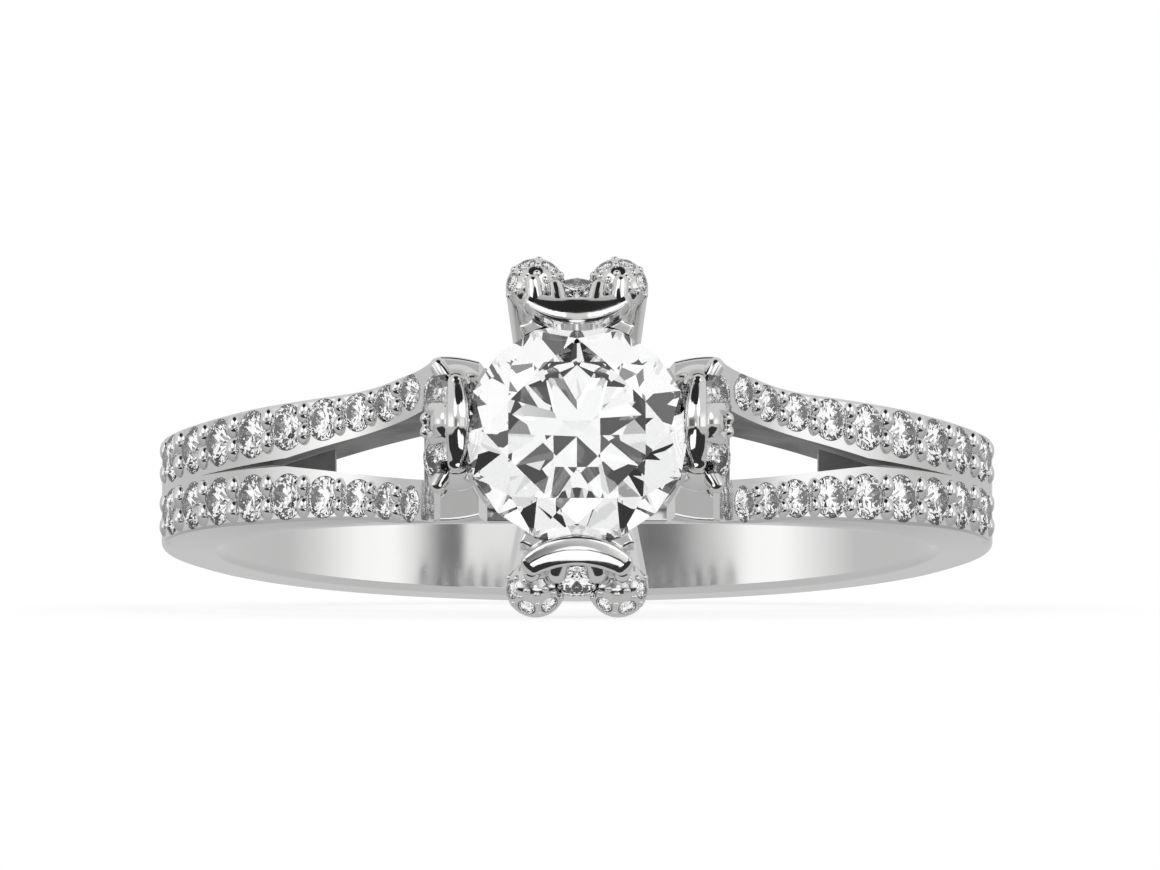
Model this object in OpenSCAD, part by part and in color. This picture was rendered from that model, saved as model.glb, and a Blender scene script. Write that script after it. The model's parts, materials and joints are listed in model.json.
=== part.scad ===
// Ring with a raised round stone, a split shank set with small stones, and a half bezel
// of four capped petals. It lies on its side, resting on two petal lobes and the back.
// Ring axes: X runs across the hoop, Y along the finger, Z out through the round stone.

/* [Hoop] */
// Inside diameter of the hoop
finger_d = 17; // [16:0.1:18]
// Thickness of the hoop's wall
wall_t = 1.5; // [1.4:0.05:1.6]
// Width of the hoop at the back
back_w = 2.8; // [2.6:0.1:3]
// Width of the hoop at its two sides
side_w = 2.46; // [2.46:0.02:2.56]
// How far the plain metal lies below the metal round the small stones
pave_step = 0.08; // [0.04:0.01:0.1]

/* [Shoulders] */
// Angle from the round stone's axis where the shoulder starts to rise
ramp_angle = 32.5; // [32:0.1:33]
// Radius of the hollow curve that the shoulder rises along
ramp_r = 4.8; // [4.6:0.1:5]
// Width of the shoulder at the head
shoulder_w = 3.8; // [3.7:0.02:3.86]
// Width of the opening between the two branches at its wide end
split_w = 1.24; // [1.1:0.02:1.26]
// Distance of the opening's wide end from the round stone's axis
split_x = 3.5; // [3.4:0.05:3.6]
// Metal left between a small stone and the flank
rim_t = 0.05; // [0.04:0.01:0.06]

/* [Stones] */
// Diameter of the round stone
centre_d = 5.1; // [5:0.05:5.15]
// Height of the round stone's girdle above the finger
centre_h = 4.2; // [4.1:0.05:4.3]
// Width of the round stone's table as a share of its diameter
centre_table = 0.66; // [0.6:0.01:0.68]
// Width of a small stone's table as a share of its diameter
small_table = 0.58; // [0.55:0.01:0.62]
// Diameter of a stone where the shoulder meets the head
column_d = 0.84; // [0.8:0.02:0.86]
// Diameter of a stone in the valley of a long petal
valley_d = 0.96; // [0.9:0.02:0.98]
// Diameter of a stone on a lobe of a long petal
lobe_stone_d = 0.4; // [0.36:0.02:0.42]
// Clearance between a stone and its seat
seat_gap = 0.02; // [0.015:0.005:0.03]

/* [Head] */
// Radius of a lobe of the two long petals, which lie along the finger
long_lobe_r = 0.69; // [0.66:0.01:0.71]
// Distance of a long petal's lobes from the round stone's axis
long_lobe_out = 3.43; // [3.4:0.01:3.46]
// Half the distance between the two lobes of a long petal
long_lobe_side = 0.94; // [0.92:0.01:0.96]
// Radius of a lobe of the two short petals, which stand on the shoulders
short_lobe_r = 0.75; // [0.72:0.01:0.78]
// Distance of a short petal's lobes from the round stone's axis
short_lobe_out = 2.76; // [2.7:0.01:2.8]
// Half the distance between the two lobes of a short petal
short_lobe_side = 0.7; // [0.68:0.01:0.72]
// How far the short petals sit to the upper side of the round stone's axis
short_rise = 0.26; // [0.24:0.01:0.28]
// Radius of the rounded lip of a long petal
long_lip_r = 0.34; // [0.32:0.01:0.36]
// Radius of the rounded lip of a short petal
short_lip_r = 0.28; // [0.27:0.01:0.3]

/* [Hidden] */
$fn = 64;

// Small stones of one row, from the side of the hoop to the head
// Columns: angle from the round stone's axis, distance from the middle plane, diameter
ANGLE = 0;
OFFSET = 1;
DIAMETER = 2;
ROW = [
    [73.0, 0.63, 1.10],
    [64.4, 0.65, 1.10],
    [56.8, 0.69, 1.10],
    [49.2, 0.75, 1.10],
    [42.3, 0.81, 1.06],
    [35.9, 0.90, 0.96],
    [30.3, 1.00, 0.87],
    [25.3, 1.13, 0.84],
    [20.9, 1.29, 0.83],
];
LAST = len(ROW) - 1;

// The proportions of every stone, as shares of its diameter
crown_share = 0.13;
girdle_share = 0.03;
pavilion_share = 0.42;
half_share = 0.3;
facets = 8;
facet_turn = 360 / facets;

finger_r = finger_d / 2;
hoop_r = finger_r + wall_t;
plain_r = hoop_r - pave_step;
girdle_z = finger_r + centre_h;
table_z = girdle_z + centre_d * (girdle_share / 2 + crown_share);

// The hollow curve of the shoulder is part of a cylinder that touches the hoop
ramp_out = hoop_r + ramp_r;
ramp_x = ramp_out * sin(ramp_angle);
ramp_z = ramp_out * cos(ramp_angle);
post_in = 2.1;
post_drop = 0.95;
post_top = girdle_z - post_drop;
post_angle = asin(post_in / plain_r);
post_top_x = ramp_x - sqrt(pow(ramp_r, 2) - pow(ramp_z - post_top, 2));
ramp_top_angle = atan2(post_top_x, post_top) + 1;
strip_end = ROW[0][ANGLE] + 6;
arc_step = 4;
strip_angles = concat([for (a = [ramp_angle:arc_step:strip_end - 1]) a], [strip_end]);

// The flanks lean in towards the finger under the head, given as half width and height
FLANK = [[1.3, 0], [1.4, 6], [1.52, 8], [2.1, 13]];
under_head_half_w = 1.85;
shoulder_from = split_x - 0.3;

// The walls of the split lean by these slopes along Z and along X
split_lean = 0.078;
split_narrowing = 0.107;
split_level = 10.3;
groove_w = 0.18;
groove_rise = 0.1;
groove_depth = 0.2;
groove_start = 38.7;

// Beads between small stones, and the first pair of beads that stands before each row
bead_share = 0.135;
bead_reach = 0.28;
bead_rise = 0.03;
first_bead_turn = 4.4;

// A lip is a bent rod that bulges towards the round stone
// Columns: distance from the stone's axis, bend radius, half angle, height, thickness
LIP_OUT = 0;
LIP_BEND = 1;
LIP_HALF_ANGLE = 2;
LIP_Z = 3;
LIP_R = 4;
LONG_LIP = [2.6, 2.3, 32, girdle_z + 0.26, long_lip_r];
SHORT_LIP = [2.7, 6, 8, girdle_z + 0.12, short_lip_r];
end_ball = 1.04;

// The seat wall round the pavilion: inner and outer radius, and how far it reaches below the girdle
wall_in = centre_d / 2 - 0.6;
wall_out = centre_d / 2 + 0.26;
wall_drop = 1;
wall_rise = centre_d * girdle_share / 2;
long_wall_half_angle = 28;
short_wall_half_angle = 37;
short_wall_top = girdle_z - 0.42;

// Each long petal has two legs, two lobes and a rounded valley between them
long_lobe_z = girdle_z - 0.7;
leg_foot = [1.3, 0.7, finger_r + 0.7];
leg_r = 0.6;
valley_r = 0.74;
valley_in = 0.62;
valley_turn = 38;
valley_sunk = 0.06;

// Stones on each lobe, by their swing from the petal's middle line, and how steeply they face out
LOBE_SWINGS = [-36, 22, 80];
lobe_stone_rise = 34;
lobe_stone_sunk = 0.04;

// Claws: distance out, distance from the petal's middle, height from the girdle, radius
CLAW_OUT = 0;
CLAW_SIDE = 1;
CLAW_RISE = 2;
CLAW_R = 3;
LONG_CLAWS = [[3.12, 0.48, 0.02, 0.25], [3.2, 1.0, -0.06, 0.2]];
SHORT_CLAWS = [[3.14, 0.3, -0.24, 0.21], [2.88, 1.34, -0.48, 0.19]];

// Each short petal has two lobes, a neck from each lobe to the lip, and a bulge between them
short_lobe_z = girdle_z - 0.9;
short_neck = [2.78, 0.62, girdle_z - 0.22];
short_neck_r = 0.3;
short_bulge = [2.95, 0, girdle_z - 0.15];
short_bulge_r = 0.42;
column_azimuth = 12;
column_rise = 50;
column_sunk = 0.1;

// The ring lies with two lobes of a long petal and the back edge on the floor
rest_run = plain_r + long_lobe_z;
rest_rise = long_lobe_out - back_w / 2;
rest_tilt = atan2(rest_rise, rest_run) + asin(long_lobe_r / norm([rest_run, rest_rise]));
rest_lift = back_w / 2 * cos(rest_tilt) + plain_r * sin(rest_tilt);
table_half = centre_d / 2 * centre_table * cos(facet_turn / 2);
front_reach = table_z * cos(rest_tilt) + table_half * sin(rest_tilt);
back_reach = plain_r * cos(rest_tilt) + back_w / 2 * sin(rest_tilt);

SIDES = ["left", "right"];
LEVELS = ["lower", "upper"];

function row_name(s, l, i) = str(s, "_", l, "_row_stone_", i + 1);
function column_name(s, l) = str(s, "_", l, "_column_stone");

// Distance of the metal's outer surface from the finger's axis, at an angle from Z
function surface_r(a) = a >= ramp_angle ? hoop_r :
    ramp_out * cos(a - ramp_angle) - sqrt(pow(ramp_r, 2) - pow(ramp_out * sin(a - ramp_angle), 2));
function surface_point(a) = arc_point(surface_r(a), a);

// Lean of the surface's outward normal from Z
function surface_lean(a) = a >= ramp_angle ? a :
    atan2(ramp_x - surface_point(a)[0], ramp_z - surface_point(a)[1]);

// A bead keeps clear of both neighbours, whose centres are a pitch apart
function bead_offset(pitch, d) =
    sqrt(max(pow(bead_reach, 2), pow(d * (0.5 + bead_share) + seat_gap, 2) - pow(pitch / 2, 2)));

function arc_point(r, a) = r * [sin(a), cos(a)];

// Half width and height above the girdle's middle where the star facets of a stone's crown end
function crown_middle(d, table) =
    let (r = d / 2, middle_r = r * (1 + table) / 2, slope = d * crown_share / (r * (1 - table)))
    [middle_r, d * (girdle_share / 2 + crown_share) - slope * (middle_r * cos(facet_turn / 2) - r * table)];

function reversed(points) = [for (i = [len(points) - 1:-1:0]) points[i]];
function flip(points) = [for (p = reversed(points)) [-p[0], p[1]]];
function close_below(points) = concat(points, [for (p = reversed(points)) [p[0], -p[1]]]);
function polar(r, a) = r * [cos(a), sin(a)];
function ring_points(n, r, z, start = 0) = [for (i = [0:n - 1]) concat(polar(r, start + i * 360 / n), z)];

// Stone cut as a brilliant, with its girdle in the XY plane and its table up
module brilliant(d, table) {
    r = d / 2;
    table_r = r * table;
    girdle_half = d * girdle_share / 2;
    crown_top = girdle_half + d * crown_share;
    star_point = crown_middle(d, table);
    culet_z = -girdle_half - d * pavilion_share;
    half_r = r * half_share;
    half_z = culet_z + d * pavilion_share / r * half_r * cos(facet_turn / 2);
    turn = facet_turn / 2;
    points = concat(
        ring_points(facets, table_r, crown_top, turn),
        ring_points(facets, star_point[0], star_point[1], turn + facet_turn / 2),
        ring_points(facets * 2, r, girdle_half, turn),
        ring_points(facets * 2, r, -girdle_half, turn),
        ring_points(facets, half_r, half_z, turn + facet_turn / 2),
        [[0, 0, culet_z]]
    );
    star = facets;
    top = facets * 2;
    bottom = facets * 4;
    half = facets * 6;
    culet = facets * 7;
    faces = concat(
        [[for (i = [facets - 1:-1:0]) i]],
        [for (i = [0:facets - 1]) let (j = (i + 1) % facets, a = top + 2 * i, b = top + 2 * j)
            each [[i, j, star + i], [i, star + i, a], [j, b, star + i],
                [a, star + i, a + 1], [a + 1, star + i, b],
                [half + i, a + facets * 2, a + 1 + facets * 2],
                [half + i, a + 1 + facets * 2, b + facets * 2],
                [half + i, culet, a + facets * 2], [half + i, b + facets * 2, culet]]],
        [for (i = [0:facets * 2 - 1]) let (j = (i + 1) % (facets * 2))
            each [[top + i, top + j, bottom + j], [top + i, bottom + j, bottom + i]]]
    );
    color("ghostwhite") polyhedron(points, faces);
}

// The room that a stone takes in the metal, with its crown covered where a lip overhangs
module seat(d, table, covered = false) {
    r = d / 2 + seat_gap;
    girdle_half = d * girdle_share / 2;
    crown_top = girdle_half + d * crown_share + seat_gap;
    top_r = d / 2 * table + seat_gap;
    crown_bend = crown_middle(d, table) + [seat_gap, seat_gap];
    mouth = d / 2;
    rotate_extrude()
        polygon(concat([[0, -girdle_half - d * pavilion_share - 2 * seat_gap], [r, -girdle_half - seat_gap]],
            covered ? [[r, girdle_half + seat_gap], crown_bend, [top_r, crown_top], [top_r, mouth]] : [[r, mouth]],
            [[0, mouth]]));
}

// Round rod between two points, which enters a ball at its far end
module rod(from, to, from_r, to_r) {
    along = to - from;
    enters = 0.95;
    translate(from) rotate([0, acos(along[2] / norm(along)), atan2(along[1], along[0])])
        cylinder(h = norm(along), r1 = from_r, r2 = to_r * enters);
    translate(to) sphere(to_r);
}

module at_row(side, level, angle, offset) {
    p = surface_point(angle);
    translate([side * p[0], level * offset, p[1]]) rotate([0, side * surface_lean(angle), 0]) children();
}

// Places a stone on a ball, facing out at an azimuth and an elevation
module on_ball(ball_r, azimuth, elevation, sunk) {
    rotate([0, 90 - elevation, azimuth]) translate([0, 0, ball_r - sunk]) children();
}

module each_column_stone() {
    for (side = [-1, 1]) for (level = [-1, 1]) at_column(side, level) children();
}

module at_column(side, level) {
    azimuth = side > 0 ? level * column_azimuth : 180 - level * column_azimuth;
    translate([side * short_lobe_out, short_rise + level * short_lobe_side, short_lobe_z])
        on_ball(short_lobe_r, azimuth, column_rise, column_sunk) children();
}

module at_valley(level) {
    translate([0, level * (long_lobe_out - valley_in), long_lobe_z])
        on_ball(valley_r, level * 90, valley_turn, valley_sunk) children();
}

module each_lobe_stone(level) {
    for (side = [-1, 1]) for (swing = LOBE_SWINGS)
        translate([side * long_lobe_side, level * long_lobe_out, long_lobe_z])
            on_ball(long_lobe_r, level * (90 - side * swing), lobe_stone_rise, lobe_stone_sunk) children();
}

// Side outline of the metal from above the finger round to the back, for the right half
function side_half() = concat(
    [for (a = [arc_step / 2:arc_step:post_angle - 1]) arc_point(plain_r, a)],
    [[post_in, sqrt(pow(plain_r, 2) - pow(post_in, 2))], [post_in, post_top], [post_top_x, post_top]],
    [for (a = [ramp_top_angle:arc_step:ramp_angle - 1]) surface_point(a)],
    [for (a = strip_angles) arc_point(hoop_r, a)],
    [for (a = [strip_end:arc_step:180]) arc_point(plain_r, a)]
);

module metal_hoop() {
    beside_rows = concat(
        [for (s = reversed(ROW)) [surface_point(s[ANGLE])[0], s[OFFSET] + s[DIAMETER] / 2 + rim_t]],
        [[hoop_r + 1, side_w / 2]]);
    front = concat([[0, under_head_half_w], [shoulder_from, shoulder_w / 2]], beside_rows);
    back = concat([[0, back_w / 2]], [for (p = beside_rows) if (p[0] > finger_r - 0.2) p]);
    flanks = concat([[-shoulder_w, -hoop_r * 2], [shoulder_w, -hoop_r * 2], [shoulder_w, 0]], FLANK,
        [for (f = reversed(FLANK)) [-f[0], f[1]]], [[-shoulder_w, 0]]);
    intersection() {
        rotate([90, 0, 0]) linear_extrude(shoulder_w * 2, center = true)
            polygon(concat(side_half(), flip(side_half())));
        union() {
            linear_extrude(hoop_r * 2) polygon(close_below(concat(flip(front), front)));
            mirror([0, 0, 1]) linear_extrude(hoop_r * 2) polygon(close_below(concat(flip(back), back)));
        }
        rotate([90, 0, 90]) linear_extrude(hoop_r * 4, center = true) polygon(flanks);
    }
}

module split_cut() {
    half_at = function (z) split_w / 2 + split_lean * (z - split_level);
    section = function (z) [[split_x, -half_at(z), z], [split_x + half_at(z) / split_narrowing, 0, z],
        [split_x, half_at(z), z]];
    polyhedron(concat(section(finger_r / 2), section(girdle_z)),
        [[0, 1, 2], [5, 4, 3], [0, 3, 4, 1], [1, 4, 5, 2], [2, 5, 3, 0]]);
}

// Narrow groove between the two rows, from the split to the last stones
module groove_cut() {
    angles = [for (a = [groove_start:arc_step:strip_end + arc_step / 2]) a];
    section = function (a) [for (p = [[hoop_r - groove_depth, 0], [hoop_r + groove_rise, -groove_w],
        [hoop_r + groove_rise, groove_w]]) [p[0] * sin(a), p[1], p[0] * cos(a)]];
    end = 3 * len(angles) - 3;
    polyhedron([for (a = angles) each section(a)],
        concat([[2, 1, 0], [end, end + 1, end + 2]],
            [for (i = [0:3:end - 1]) for (k = [0:2]) let (m = (k + 1) % 3)
                [i + m, i + m + 3, i + k + 3, i + k]]));
}

module metal_beads() {
    for (side = [-1, 1]) for (level = [-1, 1]) {
        for (i = [0:LAST - 1]) {
            a = (ROW[i][ANGLE] + ROW[i + 1][ANGLE]) / 2;
            y = (ROW[i][OFFSET] + ROW[i + 1][OFFSET]) / 2;
            d = (ROW[i][DIAMETER] + ROW[i + 1][DIAMETER]) / 2;
            here = surface_point(ROW[i][ANGLE]);
            next = surface_point(ROW[i + 1][ANGLE]);
            pitch = norm([here[0] - next[0], here[1] - next[1], ROW[i][OFFSET] - ROW[i + 1][OFFSET]]);
            for (s = [-1, 1]) at_row(side, level, a, y + s * bead_offset(pitch, d))
                translate([0, 0, bead_rise]) sphere(d * bead_share, $fn = 24);
        }
        for (s = [-1, 1]) at_row(side, level, ROW[0][ANGLE] + first_bead_turn, ROW[0][OFFSET] + s * bead_reach)
            translate([0, 0, bead_rise]) sphere(ROW[0][DIAMETER] * bead_share, $fn = 24);
    }
}

// Bent rod with round ends, on the side of X
module metal_lip(lip) {
    translate([lip[LIP_OUT] + lip[LIP_BEND], 0, lip[LIP_Z]]) {
        rotate([0, 0, 180 - lip[LIP_HALF_ANGLE]]) rotate_extrude(angle = 2 * lip[LIP_HALF_ANGLE])
            translate([lip[LIP_BEND], 0]) circle(lip[LIP_R], $fn = 32);
        for (s = [-1, 1]) rotate([0, 0, 180 + s * lip[LIP_HALF_ANGLE]]) translate([lip[LIP_BEND], 0, 0])
            sphere(lip[LIP_R] * end_ball);
    }
}

// Part of the wall round the round stone's pavilion, on the side of X
module metal_wall(half_angle, top) {
    rotate([0, 0, -half_angle]) rotate_extrude(angle = 2 * half_angle)
        translate([wall_in, girdle_z - wall_drop]) square([wall_out - wall_in, top - girdle_z + wall_drop]);
}

module metal_claws(claws) {
    for (c = claws) for (s = [-1, 1])
        translate([c[CLAW_OUT], s * c[CLAW_SIDE], girdle_z + c[CLAW_RISE]]) sphere(c[CLAW_R]);
}

module metal_long_petal() {
    for (s = [-1, 1]) rod([leg_foot[0], s * leg_foot[1], leg_foot[2]],
        [long_lobe_out, s * long_lobe_side, long_lobe_z], leg_r, long_lobe_r);
    translate([long_lobe_out - valley_in, 0, long_lobe_z]) sphere(valley_r);
    metal_claws(LONG_CLAWS);
}

module metal_short_petal() {
    translate([0, short_rise, 0]) {
        for (s = [-1, 1]) {
            translate([short_lobe_out, s * short_lobe_side, short_lobe_z]) sphere(short_lobe_r);
            translate([short_neck[0], s * short_neck[1], short_neck[2]]) sphere(short_neck_r);
        }
        translate(short_bulge) sphere(short_bulge_r);
        metal_claws(SHORT_CLAWS);
    }
}

// Both branches of the shank, cut apart, with the short petals standing on them
module metal_shank() {
    difference() {
        metal_hoop();
        for (side = [0, 1]) mirror([side, 0, 0]) {
            split_cut();
            groove_cut();
        }
    }
    for (side = [0, 1]) mirror([side, 0, 0]) metal_short_petal();
}

module metal() {
    color("lightgray") placed() difference() {
        union() {
            union() metal_shank();
            union() for (turn = [90, -90]) rotate([0, 0, turn]) {
                metal_long_petal();
                metal_lip(LONG_LIP);
                metal_wall(long_wall_half_angle, girdle_z + wall_rise);
            }
            for (side = [0, 1]) mirror([side, 0, 0]) {
                translate([0, short_rise, 0]) metal_lip(SHORT_LIP);
                metal_wall(short_wall_half_angle, short_wall_top);
            }
            union() metal_beads();
        }
        translate([0, 0, girdle_z]) seat(centre_d, centre_table, covered = true);
        for (side = [-1, 1]) for (level = [-1, 1]) for (s = ROW)
            at_row(side, level, s[ANGLE], s[OFFSET]) seat(s[DIAMETER], small_table);
        each_column_stone() seat(column_d, small_table, covered = true);
        for (level = [-1, 1]) {
            at_valley(level) seat(valley_d, small_table);
            each_lobe_stone(level) seat(lobe_stone_d, small_table);
        }
        rotate([90, 0, 0]) cylinder(h = hoop_r, r = finger_r, center = true, $fn = 128);
    }
}

module centre_stone() {
    placed() translate([0, 0, girdle_z]) brilliant(centre_d, centre_table);
}

module row_stone(side, level, i) {
    placed() at_row(side, level, ROW[i][ANGLE], ROW[i][OFFSET]) brilliant(ROW[i][DIAMETER], small_table);
}

module column_stone(side, level) {
    placed() at_column(side, level) brilliant(column_d, small_table);
}

module petal_stones(level) {
    placed() {
        at_valley(level) brilliant(valley_d, small_table);
        each_lobe_stone(level) brilliant(lobe_stone_d, small_table);
    }
}

// Lays the ring on its side, with the middle of its box over the origin
module placed() {
    translate([0, (front_reach - back_reach) / 2, rest_lift]) rotate([90 - rest_tilt, 0, 0]) children();
}

metal();
centre_stone();
petal_stones(-1);  // lower_petal_stones
petal_stones(1);  // upper_petal_stones
for (s = [0, 1]) for (l = [0, 1]) {
    for (i = [0:LAST])
        row_stone(s * 2 - 1, l * 2 - 1, i);
    column_stone(s * 2 - 1, l * 2 - 1);
}
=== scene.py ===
"""A white metal ring with a round stone in a half bezel of four petals, lying on its side on a pale floor.

Pieces are modelled in the ring's own axes, in millimetres: X across the hoop, Y along the finger and Z out
through the round stone. Each finished piece is then laid down with the CAD ring and put in metres.
"""
import json
from collections import namedtuple
from math import asin, atan2, cos, degrees, hypot, radians, sin, sqrt

import bmesh
import bpy
from mathutils import Matrix, Vector


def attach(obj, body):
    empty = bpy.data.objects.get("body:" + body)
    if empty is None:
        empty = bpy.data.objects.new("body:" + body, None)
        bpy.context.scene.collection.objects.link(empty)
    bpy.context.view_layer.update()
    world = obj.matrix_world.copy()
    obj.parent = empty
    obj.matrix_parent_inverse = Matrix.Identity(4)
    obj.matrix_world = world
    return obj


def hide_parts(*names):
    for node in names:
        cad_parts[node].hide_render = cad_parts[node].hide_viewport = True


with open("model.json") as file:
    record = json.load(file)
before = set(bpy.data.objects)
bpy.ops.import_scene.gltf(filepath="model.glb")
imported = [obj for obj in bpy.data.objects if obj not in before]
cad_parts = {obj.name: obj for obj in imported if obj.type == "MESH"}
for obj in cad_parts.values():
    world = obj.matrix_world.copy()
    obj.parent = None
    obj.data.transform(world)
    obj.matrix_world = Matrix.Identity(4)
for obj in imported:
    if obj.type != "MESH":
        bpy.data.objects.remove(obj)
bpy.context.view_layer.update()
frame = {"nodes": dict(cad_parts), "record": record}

MM = 0.001
VECTOR_MATH = "ShaderNodeVectorMath"

# Sizes of the hoop and its shoulders, as the CAD ring has them
bore = next(m for m in frame["record"]["mounts"] if m["name"] == "finger_bore")
FINGER_R = bore["dims"]["r_mm"]
WALL = 1.5
HOOP_R = FINGER_R + WALL
PLAIN_R = HOOP_R - 0.08
BACK_W, SIDE_W, SHOULDER_W = 2.8, 2.46, 3.8
# Metal left beside the row stones
RIM = 0.05
# Arc that lifts a shoulder from the hoop to the head
RAMP_ANGLE, RAMP_R = 32.5, 4.8
RAMP_OUT = HOOP_R + RAMP_R
RAMP_X = RAMP_OUT * sin(radians(RAMP_ANGLE))
RAMP_Z = RAMP_OUT * cos(radians(RAMP_ANGLE))
# Half the width of the metal, by distance from the middle in front of the rows, and by height at the flanks
FRONT = [(0.0, 1.7), (2.1, 1.76), (2.6, 1.87), (3.2, SHOULDER_W / 2)]
FLANK = [(0.0, 1.3), (6.0, 1.4), (8.0, 1.52), (13.0, 2.1)]
# Rounding of the edges, on the plain hoop and beside the rows
PLAIN_ROUNDING, ROW_ROUNDING = 0.16, 0.07
HOOP_STEPS = 600

# The small stones of one row: angle from the round stone's axis, distance from the middle plane, diameter
ROW = [
    (73.0, 0.63, 1.10), (64.4, 0.65, 1.10), (56.8, 0.69, 1.10),
    (49.2, 0.75, 1.10), (42.3, 0.81, 1.06), (35.9, 0.90, 0.96),
    (30.3, 1.00, 0.87), (25.3, 1.13, 0.84), (20.9, 1.29, 0.83),
]
ROW_D = ROW[0][2]
STRIP_END = ROW[0][0] + 6
# Room between a stone's edge and its seat
SEAT_ROOM = 0.015

# The split between the branches: its width where it starts and at which height, how much wider it gets with
# height, how much narrower with distance, and the metal left under its narrow end
SPLIT_X, SPLIT_W, SPLIT_LEVEL = 3.5, 1.56, 10.3
SPLIT_LEAN, SPLIT_NARROWING = 0.078, 0.14
SPLIT_FLOOR_R, SPLIT_FLOOR_X = FINGER_R + 0.95, 5.6
# The groove that runs on from the split: its start and turn, then its depth and half width where it starts
GROOVE_START, GROOVE_TURN = 38.7, 23
GROOVE_DEPTH, GROOVE_HALF_W = 0.22, 0.17
# What it has lost at its end: depth, and a share of its width
GROOVE_RISE, GROOVE_NARROWING = 0.2, 0.9

# Beads between row stones, for the largest stones: distance from the row's line, half length, half height
ROW_BEAD_REACH, ROW_BEAD_HALF_L, ROW_BEAD_HALF_H = 0.27, 0.29, 0.19
ROW_BEAD_HALF_W = (0.11, 0.2)
# How far a row bead laps over its two stones, and how high its middle lies above the metal
ROW_BEAD_LAP, ROW_BEAD_RISE = 0.06, 0.02
# Beads past the largest stone of a row: further round by an angle, and their half sizes
END_BEAD_ANGLE, END_BEAD_HALF = 4.5, (0.17, 0.25, 0.13)
# Beads round a lobe's stones: turns round the lobe, heights on it, how deep they sit and their half sizes
LOBE_BEAD_TURNS = (-64, -7, 51, 108)
LOBE_BEAD_RISES = (20, 47, 68)
LOBE_BEAD_SUNK, LOBE_BEAD_HALF = 0.01, (0.09, 0.09, 0.07)

# The round stone, and the posts on which the short petals stand
CENTRE_R = 2.55
CENTRE_D = CENTRE_R * 2
GIRDLE_Z = FINGER_R + 4.2
POST_IN = 2.1
POST_TOP = GIRDLE_Z - 0.95
POST_ANGLE = degrees(asin(POST_IN / PLAIN_R))
POST_TOP_X = RAMP_X - sqrt(RAMP_R ** 2 - (RAMP_Z - POST_TOP) ** 2)
POST_TOP_ANGLE = degrees(atan2(POST_TOP_X, POST_TOP))

# A petal's two lobes: radius, distance out and aside, drop under the girdle
LONG_R, LONG_OUT, LONG_SIDE, LONG_DROP = 0.69, 3.43, 0.94, 0.7
SHORT_R, SHORT_OUT, SHORT_SIDE, SHORT_DROP = 0.75, 2.76, 0.7, 0.9
# The short petals sit a little off the middle plane
SHORT_RISE = 0.26
# The ball between a long petal's lobes on which the valley's stone sits, and its metal, a little smaller
VALLEY_R, VALLEY_IN = 0.74, 0.62
VALLEY_BALL_R = VALLEY_R - 0.04
# The ball between a short petal's lobes
SHORT_MIDDLE_R, SHORT_MIDDLE_OUT = SHORT_R - 0.05, SHORT_OUT - 0.1
# Stones on the petals: diameters, and their turns round a short petal's lobe and a long one's
COLUMN_D, VALLEY_D, LOBE_D = 0.84, 0.96, 0.4
COLUMN_TURN = 12
LOBE_SWINGS = (-36, 22, 80)

# Balls that fill a petal between its lobes and its lip, placed out, aside and up from the girdle's middle.
# The cushion is an oval with three half sizes.
Ball = namedtuple("Ball", "out aside up r")
LONG_CHEEK = Ball(2.95, 0.9, -0.1, 0.34)
SHORT_CHEEK = Ball(2.78, 0.62, -0.22, 0.3)
SHORT_BEAD = Ball(SHORT_OUT + 0.66, 0.15, -0.52, 0.16)
SHORT_CUSHION = Ball(2.92, 0, -0.12, (0.42, 0.5, 0.42))
# A long petal's leg: where it leaves the hoop, out, aside and up, and its radius there
LEG_OUT, LEG_SIDE, LEG_Z, LEG_R = 1.3, 0.7, FINGER_R + 0.7, 0.6
# Part of the seat wall under each petal: half angle, outer radius and top
Wall = namedtuple("Wall", "half_angle outer top")
LONG_WALL = Wall(28, CENTRE_R + 0.26, GIRDLE_Z)
SHORT_WALL = Wall(37, CENTRE_R + 0.06, GIRDLE_Z - 0.42)
WALL_IN, WALL_H = 0.6, 1

# A lip is bent and bulges towards the stone: distance, bend radius, half angle, height of its middle, width,
# thickness, how round its broad face is, how far that face leans out, and how much the lip narrows and drops
# towards its ends
Lip = namedtuple("Lip", "out bend half_angle z width thick crown lean narrowing drop")
UPPER_LIP = Lip(2.68, 1.8, 35, GIRDLE_Z + 0.24, 0.7, 0.6, 0.03, 26, 0.4, 0.16)
LOWER_LIP = UPPER_LIP._replace(lean=9, narrowing=0.22, drop=0.03)
LONG_LIPS = {1: UPPER_LIP, -1: LOWER_LIP}
SHORT_LIP = Lip(2.68, 6, 9, GIRDLE_Z + 0.18, 0.5, 0.52, 0.05, 10, 0.3, 0.3)

# Claws beside a petal's middle line: out, aside and up where one starts and where it ends, then both radii
Claw = namedtuple("Claw", "out aside up end_out end_aside end_up r end_r")
LONG_CLAWS = {
    1: [
        Claw(2.8, 0.38, 0.2, 3.36, 0.5, -0.02, 0.26, 0.18),
        Claw(2.98, 0.94, 0.08, 3.46, 1.0, 0.02, 0.2, 0.19),
    ],
    -1: [
        Claw(2.8, 0.38, 0.2, 3.18, 0.46, 0.06, 0.28, 0.25),
        Claw(2.98, 0.94, 0.06, 3.2, 1.02, 0.02, 0.2, 0.2),
    ],
}
SHORT_CLAWS = [
    Claw(2.95, 0.24, 0.0, 3.22, 0.32, -0.24, 0.22, 0.19),
    Claw(2.96, 1.0, -0.5, 3.16, 1.36, -0.56, 0.22, 0.2),
]

# Fineness of the cast surface that a petal's shapes run together in, and how often it is smoothed
MELT_VOXEL, MELT_SMOOTHING = 0.035, 5

# The shank's finish or painted shade, by the material index of a face
POLISHED, SPLIT_SHADE, SATIN, SHADED_SEAT = range(4)
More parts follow.
